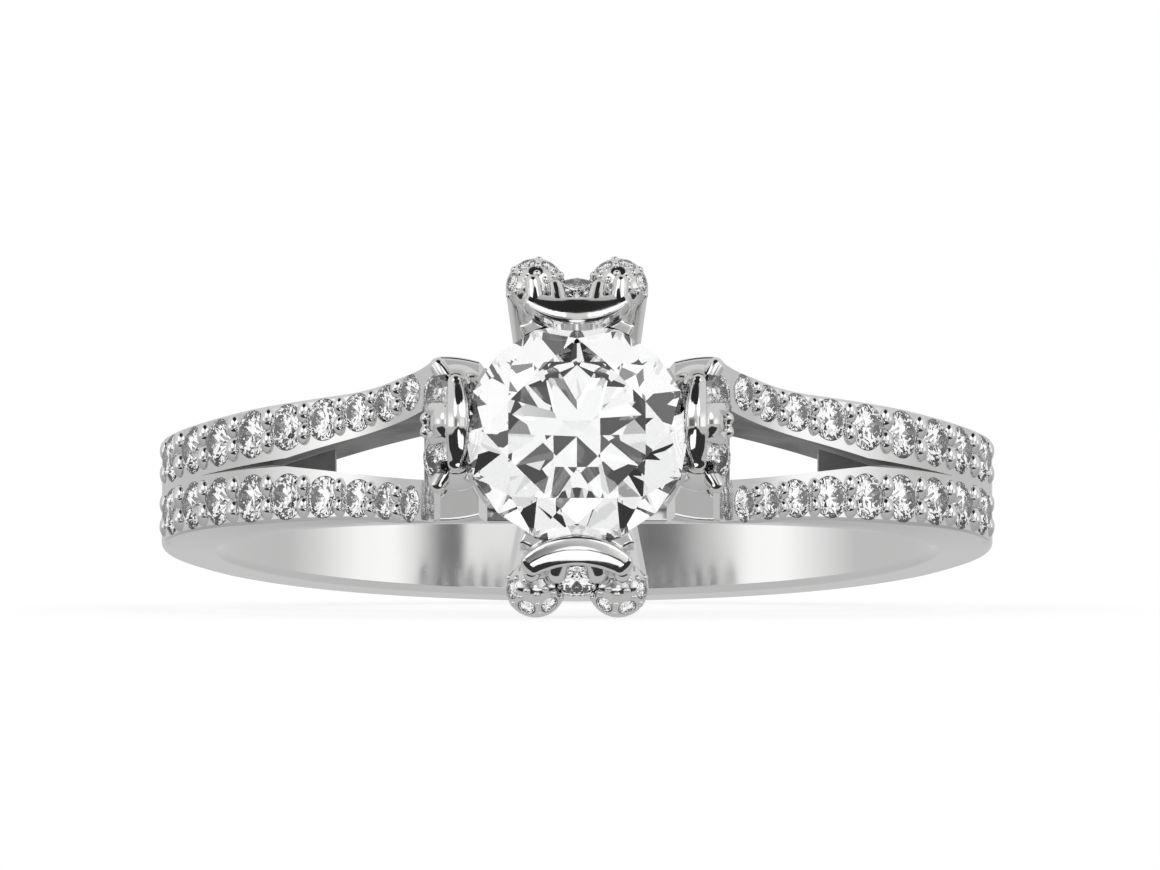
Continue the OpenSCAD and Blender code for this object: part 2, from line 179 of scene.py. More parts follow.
# White gold's own tone, a much darker copy as painted shade in the split, and a greyer copy as painted shade
# in the stones' seats
GOLD_TONE, SPLIT_SHADE_TONE, SEAT_SHADE_TONE = (0.8, 0.8, 0.795), (0.08, 0.08, 0.08), (0.5, 0.5, 0.5)

# Light round the ring for the metal, as degrees from the camera towards the right, and its grey
ROUND_LIGHT = [
    (-180, 0.5), (-105, 0.5), (-85, 0.75), (-72, 0.95), (-60, 0.93), (-50, 0.65), (-41, 0.45), (-33, 0.2),
    (-24, 0.12), (-10, 0.3), (0, 0.4), (12, 0.5), (20, 0.78), (37, 0.75), (40, 0.14), (46, 0.2), (55, 0.7),
    (64, 0.95), (78, 0.9), (95, 0.65), (110, 0.5), (180, 0.5),
]
# Light by height for the metal, as degrees above the floor's level, and its share at that height
HIGH_LIGHT = [(-90, 0.4), (10, 0.4), (17, 0.55), (25, 0.6), (58, 0.6), (70, 0.45), (90, 0.4)]
HIGH_SHARE = [(-90, 0.0), (13, 0.0), (24, 1.0), (90, 1.0)]
LIGHT_STRENGTH = 1.25
# A round card held in the light: azimuth, elevation and radius in degrees, and its grey
Card = namedtuple("Card", "azimuth elevation radius grey")
CARD_EDGE = 2
# For the metal: a white one to each side, a black one high up and a low white one in front
METAL_CARDS = [Card(-36, 38, 18, 1.15), Card(36, 38, 18, 1.15), Card(0, 70, 22, 0.02), Card(0, 2, 6, 1.1)]
# Light for the stones: its strength, its patches by share and grey, their fineness, and dark cards
GEM_LIGHT = 1.25
GEM_PATCHES = [(0.0, 0.04), (0.12, 0.4), (0.17, 0.8), (0.25, 1.0)]
GEM_SCALE, FLOOR_SCALE = 6, 150
GEM_CARDS = [
    Card(40, 46, 8, 0.05), Card(-29, 54, 8, 0.05), Card(-18, 6, 5, 0.08), Card(22, 40, 3, 0.15),
    Card(79, 0, 8, 0.1), Card(37, 12, 5, 0.1), Card(74, 34, 6, 0.3),
]

# The floor: its half size in metres, its tone and its glow
FLOOR_HALF, FLOOR_TONE, FLOOR_GLOW = 20, 0.4, 0.73
# What the metal sees of the floor, by distance behind the ring's middle
FLOOR_LIGHT = [(-30 * MM, 0.58), (-12 * MM, 0.58), (0, 0.4), (7.2 * MM, 0.6), (30 * MM, 0.62)]
# Dark floor in front of this line, by distance aside from the ring's middle
STRIP_START = -12.5 * MM
STRIP_LIGHT = [(0, 0.06), (20 * MM, 0.06), (26 * MM, 1), (40 * MM, 1)]
# White oval sheet on the dark floor: its middle, its half lengths and its light
SHEET_X, SHEET_Y, SHEET_HALF_X, SHEET_HALF_Y = 0, -29 * MM, 3.4 * MM, 15 * MM
SHEET_LIGHT = 1.3

# The camera: its lens and film width, and its place as seen from the middle of the bore
LENS, FILM_W = 324.5, 36
CAMERA_ASIDE, CAMERA_AWAY, CAMERA_ABOVE = 0.07 * MM, 250 * MM, 1.54 * MM

# Where the ring lies: its axes and its place in the frame
finger_axis = Vector(bore["axis"]).normalized()
out_axis = Vector((1, 0, 0)).cross(finger_axis)
ring_turn = Matrix((Vector((1, 0, 0)), finger_axis, out_axis)).transposed().to_4x4()
LAID = Matrix.Translation(bore["pos_m"]) @ ring_turn @ Matrix.Scale(MM, 4)


def moved(x, y, z):
    return Matrix.Translation((x, y, z))


def turned(angle, axis):
    return Matrix.Rotation(radians(angle), 4, axis)


def stretched(x, y, z):
    return Matrix.Diagonal((x, y, z, 1))


def between(table, x):
    """Smooth value at x of a curve through the table's points."""
    if x <= table[0][0]:
        return table[0][1]
    if x >= table[-1][0]:
        return table[-1][1]
    slopes = [(y1 - y0) / (x1 - x0) for (x0, y0), (x1, y1) in zip(table, table[1:])]
    leans = [slopes[0]] + [(a + b) / 2 for a, b in zip(slopes, slopes[1:])] + [slopes[-1]]
    i = max(k for k in range(len(slopes)) if table[k][0] <= x)
    (x0, y0), (x1, y1) = table[i], table[i + 1]
    w = x1 - x0
    t = (x - x0) / w
    return (y0 * (1 + 2 * t) * (1 - t) ** 2 + y1 * t * t * (3 - 2 * t)
            + w * leans[i] * t * (1 - t) ** 2 - w * leans[i + 1] * t * t * (1 - t))


def surface_r(a):
    """Distance of the metal's outer surface from the finger's axis, at an angle from the stone's axis."""
    if a >= RAMP_ANGLE:
        return HOOP_R
    t = radians(a - RAMP_ANGLE)
    return RAMP_OUT * cos(t) - sqrt(RAMP_R ** 2 - (RAMP_OUT * sin(t)) ** 2)


def surface_point(a):
    r = surface_r(a)
    return r * sin(radians(a)), r * cos(radians(a))


def surface_lean(a):
    """How far the outer surface faces away from the stone's axis, at an angle from that axis."""
    if a >= RAMP_ANGLE:
        return a
    x, z = surface_point(a)
    return degrees(atan2(RAMP_X - x, RAMP_Z - z))


def at_row(side, level, angle, offset):
    """Place on the outer surface, with Z pointing out of it."""
    x, z = surface_point(angle)
    return moved(side * x, level * offset, z) @ turned(side * surface_lean(angle), "Y")


def on_ball(ball_r, azimuth, elevation, sunk):
    """Place on a ball round the origin, with Z pointing out of it."""
    return turned(azimuth, "Z") @ turned(90 - elevation, "Y") @ moved(0, 0, ball_r - sunk)


def at_column(side, level):
    azimuth = level * COLUMN_TURN if side > 0 else 180 - level * COLUMN_TURN
    place = moved(side * SHORT_OUT, SHORT_RISE + level * SHORT_SIDE, GIRDLE_Z - SHORT_DROP)
    return place @ on_ball(SHORT_R, azimuth, elevation=50, sunk=0.1)


def at_valley(level):
    place = moved(0, level * (LONG_OUT - VALLEY_IN), GIRDLE_Z - LONG_DROP)
    return place @ on_ball(VALLEY_R, level * 90, elevation=38, sunk=0.06)


def at_lobe_stones(level):
    for side in (-1, 1):
        for swing in LOBE_SWINGS:
            centre = moved(side * LONG_SIDE, level * LONG_OUT, GIRDLE_Z - LONG_DROP)
            yield centre @ on_ball(LONG_R, level * (90 - side * swing), elevation=34, sunk=0.04)


def as_object(bm, name):
    mesh = bpy.data.meshes.new(name)
    bm.to_mesh(mesh)
    bm.free()
    obj = bpy.data.objects.new(name, mesh)
    bpy.context.scene.collection.objects.link(obj)
    return obj


def closed_object(bm, name):
    """Object of closed shapes, with their faces turned outwards."""
    bmesh.ops.recalc_face_normals(bm, faces=bm.faces[:])
    return as_object(bm, name)


def settle(obj):
    """Applies the object's modifiers to its mesh."""
    bpy.context.view_layer.update()
    depsgraph = bpy.context.evaluated_depsgraph_get()
    done = bpy.data.meshes.new_from_object(obj.evaluated_get(depsgraph))
    old = obj.data
    obj.modifiers.clear()
    obj.data = done
    bpy.data.meshes.remove(old)


def combine(obj, other, operation):
    """Unites a second closed shape with the object, or takes it out, and uses the second one up."""
    both = obj.modifiers.new("combine", "BOOLEAN")
    both.operation = operation
    both.solver = "MANIFOLD"
    both.object = other
    settle(obj)
    bpy.data.objects.remove(other)


def cut_away(obj, cutter):
    combine(obj, cutter, "DIFFERENCE")


def join(obj, other):
    combine(obj, other, "UNION")


def melt(obj):
    """Runs the joined shapes together into one smooth cast surface."""
    remesh = obj.modifiers.new("melt", "REMESH")
    remesh.mode = "VOXEL"
    remesh.voxel_size = MELT_VOXEL
    smooth = obj.modifiers.new("smooth", "SMOOTH")
    smooth.factor = 0.5
    smooth.iterations = MELT_SMOOTHING
    settle(obj)


def lay_down(obj, *finishes_and_shades):
    """Puts a finished metal piece in its place in the frame, with each face's finish or painted shade by
    material index.
    """
    indices = [face.material_index for face in obj.data.polygons]
    obj.data.materials.clear()
    for material in finishes_and_shades:
        obj.data.materials.append(material)
    obj.data.polygons.foreach_set("material_index", [min(i, len(finishes_and_shades) - 1) for i in indices])
    obj.data.transform(LAID)
    obj.data.shade_smooth()
    obj.data.set_sharp_from_angle(angle=radians(40))
    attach(obj, "root")
    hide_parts("metal")


def add_ball(bm, matrix, r, rings=24):
    bmesh.ops.create_uvsphere(bm, u_segments=rings * 2, v_segments=rings, radius=r, matrix=matrix)


def add_rod(bm, start, end, r_start, r_end):
    """Tapered rod between two points with a ball at its far end."""
    along = Vector(end) - Vector(start)
    middle = (Vector(start) + Vector(end)) / 2
    turn = along.to_track_quat("Z", "Y").to_matrix().to_4x4()
    bmesh.ops.create_cone(bm, cap_ends=True, segments=48, radius1=r_start, radius2=r_end,
                          depth=along.length, matrix=Matrix.Translation(middle) @ turn)
    add_ball(bm, Matrix.Translation(end), r_end)


def add_turned(bm, profile, place, steps=32):
    """Shape turned on the Z axis from a profile of radius and height that starts and ends on the axis."""
    verts = [bm.verts.new((r, 0, z)) for r, z in profile]
    edges = [bm.edges.new(pair) for pair in zip(verts, verts[1:])]
    bmesh.ops.spin(bm, geom=verts + edges, axis=(0, 0, 1), cent=(0, 0, 0), angle=radians(360),
                   steps=steps, use_merge=True, use_duplicate=False)
    made = [v for v in bm.verts if v.tag is False]
    bmesh.ops.remove_doubles(bm, verts=made, dist=1e-5)
    made = [v for v in bm.verts if v.tag is False]
    bmesh.ops.transform(bm, matrix=place, verts=made)
    for v in made:
        v.tag = True


def add_seat(bm, place, d):
    """Cone and mouth of the hole that a stone sits in."""
    r = d / 2 + SEAT_ROOM
    cone_depth, mouth_height = 0.46 * d, 0.6 * d
    add_turned(bm, [(0, -cone_depth), (r, -0.02), (r, mouth_height), (0, mouth_height)], place)


def half_width(x, z):
    """Half the width of the metal at a point of the side view."""
    beside_rows = [(surface_point(a)[0], y + d / 2 + RIM) for a, y, d in reversed(ROW)]
    side = [(HOOP_R, SIDE_W / 2)]
    if z < 0:
        return between([(0.0, BACK_W / 2)] + beside_rows[-3:] + side, abs(x))
    return min(between(FRONT + beside_rows + side, abs(x)), between(FLANK, z))


def outer_point(a):
    """Outer surface of the hoop, posts and shoulders in the side view, at an angle from the stone's axis."""
    if a < POST_ANGLE or a > STRIP_END:
        return PLAIN_R * sin(radians(a)), PLAIN_R * cos(radians(a))
    if a < POST_TOP_ANGLE:
        share = (a - POST_ANGLE) / (POST_TOP_ANGLE - POST_ANGLE)
        return POST_IN + share * (POST_TOP_X - POST_IN), POST_TOP
    return surface_point(a)


def make_shank():
    """The hoop with its two shoulders: a rounded section spun round the finger and then shaped."""
    bm = bmesh.new()
    corner = 0.2
    bmesh.ops.create_grid(bm, x_segments=1, y_segments=1, size=1)
    bmesh.ops.bevel(bm, geom=bm.verts[:], affect="VERTICES", offset=corner, offset_type="OFFSET",
                    segments=4, profile=0.5, material=-1)
    straight = [e for e in bm.edges if e.calc_length() > 1]
    bmesh.ops.subdivide_edges(bm, edges=straight, cuts=7)
    bmesh.ops.delete(bm, geom=bm.faces[:], context="FACES_ONLY")
    for v in bm.verts:
        v.co = Vector((0, v.co.x, HOOP_R + v.co.y))
    bmesh.ops.spin(bm, geom=bm.verts[:] + bm.edges[:], axis=(0, 1, 0), cent=(0, 0, 0),
                   angle=radians(360), steps=HOOP_STEPS, use_merge=True, use_duplicate=False)
    bmesh.ops.remove_doubles(bm, verts=bm.verts[:], dist=1e-4)
    for v in bm.verts:
        v.co = shaped(v.co, corner)
    shank = closed_object(bm, "shank")
    cut_away(shank, make_split_cutter())
    cut_away(shank, make_groove_cutter())
    cut_away(shank, make_seat_cutter())
    for face in shank.data.polygons:
        face.material_index = finish_or_shade_at(face.center, face.normal)
    return shank


def shaped(point, corner):
    """Where a point of the plain spun section goes, from its angle and its place in the section."""
    angle = atan2(point.x, point.z)
    turn = abs(degrees(angle))
    across, depth = point.y, hypot(point.x, point.z) - HOOP_R
    inner = Vector((FINGER_R * sin(radians(turn)), FINGER_R * cos(radians(turn))))
    through = Vector(outer_point(turn)) - inner
    rounding = PLAIN_ROUNDING if turn > STRIP_END else ROW_ROUNDING
    half_t = through.length / 2
    from_middle = towards_edge(depth, across, half_t, rounding, corner)
    x, z = inner + through * (0.5 + (from_middle if depth > 0 else -from_middle) / through.length)
    x *= 1 if angle > 0 else -1
    y = towards_edge(across, depth, half_width(x, z), rounding, corner)
    return Vector((x, y if across > 0 else -y, z))


def towards_edge(share, other, half, rounding, corner):
    """Distance from the middle for a share of -1 to 1, with round corners where the other share is high too.

    Loops are crowded towards the edges, so that the flat faces between them are shaded flat.
    """
    reach = max(0.0, abs(share) - (1 - corner)) / corner
    other_reach = max(0.0, abs(other) - (1 - corner)) / corner
    if reach > 0 and other_reach > 0:
        return half - rounding * (1 - min(1, reach))
    if reach > 0.99:
        return half
    crowded = 1 - (1 - abs(share) / (1 - corner)) ** 3
    return crowded * (half - rounding)


def split_half(x, z):
    """Half the width of the split between the branches."""
    return SPLIT_W / 2 + SPLIT_LEAN * (z - SPLIT_LEVEL) - SPLIT_NARROWING * (abs(x) - SPLIT_X)


def finish_or_shade_at(place, normal):
    """Finish or painted shade of a face of the shank: satin in the bore, painted shade in the split or in a
    seat, or polished elsewhere.
    """
    near, by_bore, under_skin, inside_rim = 0.02, 0.12, 0.05, 0.08
    out = hypot(place.x, place.z)
    turn = abs(degrees(atan2(place.x, place.z)))
    if out < FINGER_R + near:
        return SATIN
    if turn > STRIP_END or turn < POST_TOP_ANGLE or out < FINGER_R + by_bore:
        return POLISHED
    faces_middle = normal.y * place.y < 0 and abs(normal.y) > 0.5
    below = (out < surface_r(turn) - under_skin
             and abs(place.y) < half_width(place.x, place.z) - inside_rim)
    if not (below or faces_middle):
        return POLISHED
    # Faces in the split get the darker painted shade, and the other faces in the stones' seats the greyer
    # painted shade
    in_split = abs(place.y) < max(GROOVE_HALF_W + near / 2, split_half(place.x, place.z) + near)
    return SPLIT_SHADE if in_split else SHADED_SEAT


def make_split_cutter():
    """Two wedges that part the branches of the shoulders, with a floor under their narrow ends."""
    bm = bmesh.new()
    for side in (-1, 1):
        rings = []
        for z in (FINGER_R / 2, GIRDLE_Z):
            half = split_half(SPLIT_X, z)
            rings.append([bm.verts.new((side * x, y, z)) for x, y in
                          ((SPLIT_X, -half), (SPLIT_X + half / SPLIT_NARROWING, 0), (SPLIT_X, half))])
        bm.faces.new(rings[0])
        bm.faces.new(rings[1])
        bmesh.ops.bridge_loops(bm, edges=[bm.edges.get((r[i], r[i - 1])) for r in rings for i in range(3)])
    cutter = closed_object(bm, "split_cutter")
    for side in (-1, 1):
        cut_away(cutter, make_split_floor(side))
    return cutter


def make_split_floor(side):
    """The metal left under the narrow end of a split: part of a thick disc round the finger."""
    bm = bmesh.new()
    bmesh.ops.create_cone(bm, cap_ends=True, segments=200, radius1=SPLIT_FLOOR_R, radius2=SPLIT_FLOOR_R,
                          depth=2, matrix=turned(90, "X"))
    bmesh.ops.bisect_plane(bm, geom=bm.verts[:] + bm.edges[:] + bm.faces[:],
                           plane_co=(side * SPLIT_FLOOR_X, 0, 0), plane_no=(side, 0, 0), clear_inner=True)
    bmesh.ops.holes_fill(bm, edges=bm.edges[:], sides=0)
    return closed_object(bm, "split_floor")


def make_groove_cutter():
    """Narrow grooves that run on from the split, between the two rows, and taper away."""
    bm = bmesh.new()
    above = HOOP_R + 0.1
    for side in (-1, 1):
        section = [bm.verts.new((side * r * sin(radians(GROOVE_START)), y, r * cos(radians(GROOVE_START))))
                   for r, y in ((HOOP_R - GROOVE_DEPTH, 0), (above, -GROOVE_HALF_W), (above, GROOVE_HALF_W))]
        start = bm.faces.new(section)
        bmesh.ops.spin(bm, geom=[start], axis=(0, 1, 0), cent=(0, 0, 0),
                       angle=radians(side * GROOVE_TURN), steps=12, use_duplicate=False)
    for v in bm.verts:
        share = (abs(degrees(atan2(v.co.x, v.co.z))) - GROOVE_START) / GROOVE_TURN
        v.co.y *= 1 - GROOVE_NARROWING * share
        r = hypot(v.co.x, v.co.z)
        if r < HOOP_R:
            v.co.x *= 1 + GROOVE_RISE * share / r
            v.co.z *= 1 + GROOVE_RISE * share / r
    return closed_object(bm, "groove_cutter")


def make_seat_cutter():
    """Seats of the row stones."""
    bm = bmesh.new()
    for side in (-1, 1):
        for level in (-1, 1):
            for angle, offset, d in ROW:
                add_seat(bm, at_row(side, level, angle, offset), d)
    return closed_object(bm, "seat_cutter")


def row_gaps(side, level):
    """Place, pitch and mean diameter of each gap between neighbours in a row."""
    for (a0, y0, d0), (a1, y1, d1) in zip(ROW, ROW[1:]):
        (x0, z0), (x1, z1) = surface_point(a0), surface_point(a1)
        pitch = sqrt((x0 - x1) ** 2 + (z0 - z1) ** 2 + (y0 - y1) ** 2)
        yield at_row(side, level, (a0 + a1) / 2, (y0 + y1) / 2), pitch, (d0 + d1) / 2


def make_beads():
    """Oval beads raised between neighbouring stones of the rows, and round ones on the long petals' lobes."""
    bm = bmesh.new()
    for side in (-1, 1):
        for level in (-1, 1):
            for place, pitch, d in row_gaps(side, level):
                add_row_beads(bm, place, pitch, d)
            end = at_row(side, level, ROW[0][0] + END_BEAD_ANGLE, ROW[0][1])
            for s in (-1, 1):
                bead = end @ moved(0, s * ROW_BEAD_REACH, 0)
                add_ball(bm, bead @ stretched(*END_BEAD_HALF), 1, rings=10)
    for side in (-1, 1):
        for level in (-1, 1):
            lobe = moved(side * LONG_SIDE, level * LONG_OUT, GIRDLE_Z - LONG_DROP)
            for swing in LOBE_BEAD_TURNS:
                for rise in LOBE_BEAD_RISES:
                    bead = lobe @ on_ball(LONG_R, level * (90 - side * swing), rise, LOBE_BEAD_SUNK)
                    add_ball(bm, bead @ stretched(*LOBE_BEAD_HALF), 1, rings=8)
    return as_object(bm, "beads")


def add_row_beads(bm, place, pitch, d):
    """Two beads in a gap of a row, as wide as reaches a little over both stones."""
    reach = ROW_BEAD_REACH * d / ROW_D
    narrowest, widest = ROW_BEAD_HALF_W
    free = pitch / 2 - sqrt((d / 2) ** 2 - reach ** 2)
    half_w = min(widest, max(narrowest, free + ROW_BEAD_LAP))
    size = stretched(half_w, ROW_BEAD_HALF_L * d / ROW_D, ROW_BEAD_HALF_H)
    for s in (-1, 1):
        add_ball(bm, place @ moved(0, s * reach, ROW_BEAD_RISE) @ size, 1, rings=10)


def lip_section(lip):
    """Cross-section of a lip as points of distance and height, with round edges and a broad face on top."""
    half_w, half_t = lip.width / 2, lip.thick / 2
    edge = min(half_w, half_t) * 0.42
    points = []
    for corner, (sx, sz) in enumerate(((1, 1), (-1, 1), (-1, -1), (1, -1))):
        for step in range(7):
            a = radians(90 * corner + 15 * step)
            x, z = sx * (half_w - edge) + edge * cos(a), sz * (half_t - edge) + edge * sin(a)
            points.append(Vector((x, 0, z)))
    across = [points[6].lerp(points[7], t / 8) for t in range(1, 8)]
    for p in across:
        p.z += lip.crown * (1 - (p.x / (half_w - edge)) ** 2)
    points[7:7] = across
    lean = turned(lip.lean, "Y")
    return [lean @ p for p in points]


def add_lip(bm, lip):
    """Bent bar that bulges towards the stone, thinner and lower at its round ends."""
    centre = Vector((lip.out + lip.bend, 0, lip.z))
    start = Matrix.Translation(centre) @ turned(180 - lip.half_angle, "Z") @ moved(lip.bend, 0, 0)
    section = bm.faces.new([bm.verts.new(start @ turned(180, "Z") @ p) for p in lip_section(lip)])
    made = bmesh.ops.spin(bm, geom=[section], axis=(0, 0, 1), cent=centre,
                          angle=radians(2 * lip.half_angle), steps=48)
    last = next(f for f in made["geom_last"] if isinstance(f, bmesh.types.BMFace))
    for v in reached_from(section, last):
        turn = atan2(v.co.y, centre.x - v.co.x)
        share = (turn / radians(lip.half_angle)) ** 2
        middle = centre + Vector((-lip.bend * cos(turn), lip.bend * sin(turn), 0))
        v.co = middle + (v.co - middle) * (1 - lip.narrowing * share)
        v.co.z -= lip.drop * share
    for face, s in ((section, 1), (last, -1)):
        round_off(bm, face, lip, s)


def reached_from(*faces):
    """All the points of the shape that the faces belong to."""
    found = {v for f in faces for v in f.verts}
    edge = set(found)
    while edge:
        edge = {e.other_vert(v) for v in edge for e in v.link_edges} - found
        found |= edge
    return found


def round_off(bm, face, lip, s):
    """Closes an end of a lip with a dome, pushed out in steps that get narrower."""
    reach = lip.thick / 2 * (1 - lip.narrowing)
    middle = face.calc_center_median()
    away = middle - Vector((lip.out + lip.bend, 0, middle.z))
    along = Vector((-away.y, away.x, 0)).normalized()
    if along.y * s < 0:
        along = -along
    steps, dome_angle = 7, 88
    for step in range(1, steps + 1):
        a, before = radians(dome_angle * step / steps), radians(dome_angle * (step - 1) / steps)
        out = bmesh.ops.extrude_discrete_faces(bm, faces=[face])
        face = out["faces"][0]
        push = along * reach * (sin(a) - sin(before))
        middle = middle + push
        for v in face.verts:
            v.co = middle + (v.co + push - middle) * (cos(a) / cos(before))


def add_wall(bm, wall):
    """Part of the seat wall round the stone's pavilion, on the side of X."""
    inner, foot = CENTRE_R - WALL_IN, GIRDLE_Z - WALL_H
    turn = turned(-wall.half_angle, "Z")
    corners = [bm.verts.new(turn @ Vector((r, 0, z))) for r, z in
               ((inner, foot), (wall.outer, foot), (wall.outer, wall.top), (inner, wall.top))]
    face = bm.faces.new(corners)
    bmesh.ops.spin(bm, geom=[face], axis=(0, 0, 1), cent=(0, 0, 0),
                   angle=radians(2 * wall.half_angle), steps=24)


def make_long_petal(level):
    """One of the two petals along the finger."""
    bm = bmesh.new()
    z = GIRDLE_Z - LONG_DROP
    turn = turned(level * 90, "Z")
    add_wall(bm, LONG_WALL)
    for s in (-1, 1):
        add_rod(bm, (LEG_OUT, s * LEG_SIDE, LEG_Z), (LONG_OUT, s * LONG_SIDE, z), LEG_R, LONG_R)
        add_ball(bm, moved(LONG_CHEEK.out, s * LONG_CHEEK.aside, GIRDLE_Z + LONG_CHEEK.up), LONG_CHEEK.r)
    add_ball(bm, moved(LONG_OUT - VALLEY_IN, 0, z), VALLEY_BALL_R)
    add_lip(bm, LONG_LIPS[level])
    bmesh.ops.transform(bm, matrix=turn, verts=bm.verts[:])
    petal = closed_object(bm, "upper_petal" if level > 0 else "lower_petal")
    melt(petal)
    seats = bmesh.new()
    add_seat(seats, at_valley(level), VALLEY_D)
    for place in at_lobe_stones(level):
        add_seat(seats, place, LOBE_D)
    cut_away(petal, closed_object(seats, "petal_cutter"))
    finish_petal(petal, LONG_CLAWS[level], turn)
    return petal


def make_short_petal(side):
    """One of the two petals that stand on the shoulders."""
    bm = bmesh.new()
    z = GIRDLE_Z - SHORT_DROP
    turn = stretched(side, 1, 1) @ moved(0, SHORT_RISE, 0)
    for level in (-1, 1):
        add_ball(bm, moved(SHORT_OUT, level * SHORT_SIDE, z), SHORT_R)
        for ball in (SHORT_CHEEK, SHORT_BEAD):
            add_ball(bm, moved(ball.out, level * ball.aside, GIRDLE_Z + ball.up), ball.r)
    add_ball(bm, moved(SHORT_MIDDLE_OUT, 0, z), SHORT_MIDDLE_R)
    cushion = moved(SHORT_CUSHION.out, 0, GIRDLE_Z + SHORT_CUSHION.up) @ stretched(*SHORT_CUSHION.r)
    add_ball(bm, cushion, 1)
    add_lip(bm, SHORT_LIP)
    bmesh.ops.transform(bm, matrix=turn, verts=bm.verts[:])
    wall = bmesh.new()
    add_wall(wall, SHORT_WALL)
    bmesh.ops.transform(wall, matrix=stretched(side, 1, 1), verts=wall.verts[:])
    petal = closed_object(bm, "right_petal" if side > 0 else "left_petal")
    melt(petal)
    join(petal, closed_object(wall, "wall"))
    seats = bmesh.new()
    for level in (-1, 1):
        add_seat(seats, at_column(side, level), COLUMN_D)
    cut_away(petal, closed_object(seats, "petal_cutter"))
    finish_petal(petal, SHORT_CLAWS, turn)
    return petal


def finish_petal(petal, claws, turn):
    """Adds a petal's claws on both sides of its middle line and clears the round stone's room."""
    for s in (-1, 1):
        for claw in claws:
            join(petal, make_claw(s, claw, turn))
    room = bmesh.new()
    add_stone_room(room)
    cut_away(petal, closed_object(room, "petal_cutter"))


def make_claw(s, claw, turn):
    """Round-ended claw on one side of a petal's middle line."""
    bm = bmesh.new()
    start = Vector((claw.out, s * claw.aside, GIRDLE_Z + claw.up))
    end = Vector((claw.end_out, s * claw.end_aside, GIRDLE_Z + claw.end_up))
    along = end - start
    lean = along.to_track_quat("Z", "Y").to_matrix().to_4x4()
    profile = [(0, -claw.r)]
    for a in range(-75, 1, 15):
        profile.append((claw.r * cos(radians(a)), claw.r * sin(radians(a))))
    for a in range(0, 76, 15):
        profile.append((claw.end_r * cos(radians(a)), along.length + claw.end_r * sin(radians(a))))
    profile.append((0, along.length + claw.end_r))
    add_turned(bm, profile, turn @ Matrix.Translation(start) @ lean, steps=24)
    return closed_object(bm, "claw")


def add_stone_room(bm):
    """Room for the round stone under its lips, so that no metal reaches into it."""
    room = 0.02
    r, table_r = CENTRE_R + room, CENTRE_R * 0.66 + room
    pavilion, crown, top = 0.445 * CENTRE_D, 0.145 * CENTRE_D + room, CENTRE_D / 2
    add_turned(bm, [(0, -pavilion), (r, -0.05), (r, 0.1), (table_r, crown), (table_r, top), (0, top)],
               moved(0, 0, GIRDLE_Z), steps=64)


def new_material(name):
    material = bpy.data.materials.new(name)
    material.use_nodes = True
    tree = material.node_tree
    return material, tree, tree.nodes["Principled BSDF"]


def feed(tree, socket, value):
    """Links a socket to another node's output, or sets a plain value on it."""
    if isinstance(value, bpy.types.NodeSocket):
        tree.links.new(value, socket)
    else:
        socket.default_value = value


def worked_out(tree, operation, *values, node_type="ShaderNodeMath"):
    """Result of a math node on values that are plain or come from other nodes."""
    node = tree.nodes.new(node_type)
    node.operation = operation
    for socket, value in zip(node.inputs, values):
        feed(tree, socket, value)
    return node.outputs


def mixed(tree, share, a, b, blend="MIX"):
    """Mix of two colours by a share."""
    node = tree.nodes.new("ShaderNodeMix")
    node.data_type = "RGBA"
    node.blend_type = blend
    feed(tree, node.inputs["Factor"], share)
    feed(tree, node.inputs["A"], a)
    feed(tree, node.inputs["B"], b)
    return node.outputs["Result"]


def grey(value):
    return (value, value, value, 1)


def fill_ramp(ramp, stops):
    """Sets a colour ramp's stops, given as place and grey value."""
    while len(ramp.elements) > 1:
        ramp.elements.remove(ramp.elements[-1])
    ramp.elements[0].position = stops[0][0]
    ramp.elements[0].color = grey(stops[0][1])
    for place, value in stops[1:]:
        stop = ramp.elements.new(place)
        stop.color = grey(value)


def add_ramp(tree, value, low, high, stops):
    """Grey ramp over a range of a value."""
    share = tree.nodes.new("ShaderNodeMapRange")
    share.inputs["From Min"].default_value = low
    share.inputs["From Max"].default_value = high
    tree.links.new(value, share.inputs["Value"])
    ramp = tree.nodes.new("ShaderNodeValToRGB")
    fill_ramp(ramp.color_ramp, [((place - low) / (high - low), light) for place, light in stops])
    tree.links.new(share.outputs["Result"], ramp.inputs["Fac"])
    return ramp.outputs["Color"]


def by_ray(tree, path, flag, here, otherwise):
    """Mixes two shaders by a kind of ray."""
    mix = tree.nodes.new("ShaderNodeMixShader")
    tree.links.new(path.outputs[flag], mix.inputs["Fac"])
    tree.links.new(otherwise, mix.inputs[1])
    tree.links.new(here, mix.inputs[2])
    return mix.outputs["Shader"]


